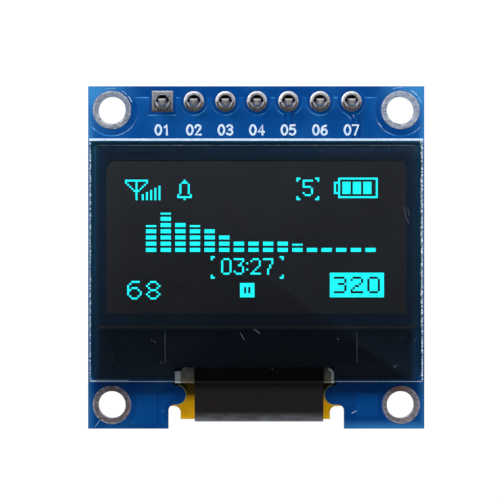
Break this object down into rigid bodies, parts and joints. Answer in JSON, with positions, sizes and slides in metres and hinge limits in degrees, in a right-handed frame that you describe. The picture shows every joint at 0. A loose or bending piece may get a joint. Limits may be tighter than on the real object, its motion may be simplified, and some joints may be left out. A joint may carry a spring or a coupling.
{
  "type": "small graphic display module",
  "caption": "Small emissive display on a nearly square blue circuit board, with a row of header pins, corner mounting holes and a flex cable wrapped through a notch.",
  "frame": {"origin": "centre of the four mounting holes, on the circuit board's back face", "axes": "+Z out of the screen, +Y towards the pin header, +X to the right as the screen is read"},
  "size_m": [0.0272, 0.0277, 0.0115],
  "materials": {
    "board_blue": "semi-gloss solder mask over glass-fibre laminate",
    "plating": "tin-lead coat, slightly uneven",
    "header_black": "moulded nylon",
    "pin_metal": "tin-plated",
    "solder": "bright solder",
    "foam_white": "foam tape",
    "clear_glass": "clear, scribed edges",
    "drying_white": "matte",
    "seal_epoxy": "cured epoxy",
    "light_film": "smooth thin film; lit dots cyan",
    "polarizer_dark": "smooth dark film",
    "chip_black": "bare silicon",
    "coating_black": "satin cast coating",
    "flex_amber": "polyimide film",
    "flex_black": "satin cover film",
    "glue_pale": "cured clear-white glue",
    "package_black": "moulded epoxy with tin-plated leads",
    "capacitor_tan": "ceramic with tinned ends",
    "resistor_black": "glazed top with tinned ends",
    "print_white": "screen-printed ink"
  },
  "bodies": {
    "root": {"board": "board_blue", "mount_hole_plating_1": "plating", "mount_hole_plating_2": "plating", "mount_hole_plating_3": "plating", "mount_hole_plating_4": "plating", "header_pad_1": "plating", "header_pad_2": "plating", "header_pad_3": "plating", "header_pad_4": "plating", "header_pad_5": "plating", "header_pad_6": "plating", "header_pad_7": "plating", "header_housing": "header_black", "header_pin_1": "pin_metal", "header_pin_2": "pin_metal", "header_pin_3": "pin_metal", "header_pin_4": "pin_metal", "header_pin_5": "pin_metal", "header_pin_6": "pin_metal", "header_pin_7": "pin_metal", "solder_joint_1": "solder", "solder_joint_2": "solder", "solder_joint_3": "solder", "solder_joint_4": "solder", "solder_joint_5": "solder", "solder_joint_6": "solder", "solder_joint_7": "solder", "foam_tape": "foam_white", "rear_cover_glass": "clear_glass", "drying_sheet": "drying_white", "edge_seal": "seal_epoxy", "light_film": "light_film", "front_glass": "clear_glass", "polarizer": "polarizer_dark", "driver_chip": "chip_black", "ledge_coating": "coating_black", "flex_base": "flex_amber", "flex_cover": "flex_black", "flex_solder_row": "solder", "glue_bead_left": "glue_pale", "glue_bead_right": "glue_pale", "regulator": "package_black", "diode": "package_black", "capacitor_1": "capacitor_tan", "capacitor_2": "capacitor_tan", "capacitor_3": "capacitor_tan", "capacitor_4": "capacitor_tan", "capacitor_5": "capacitor_tan", "capacitor_6": "capacitor_tan", "capacitor_7": "capacitor_tan", "capacitor_8": "capacitor_tan", "resistor_1": "resistor_black", "resistor_2": "resistor_black", "resistor_3": "resistor_black", "resistor_4": "resistor_black", "resistor_5": "resistor_black", "resistor_6": "resistor_black", "resistor_7": "resistor_black"}
  },
  "joints": []
}
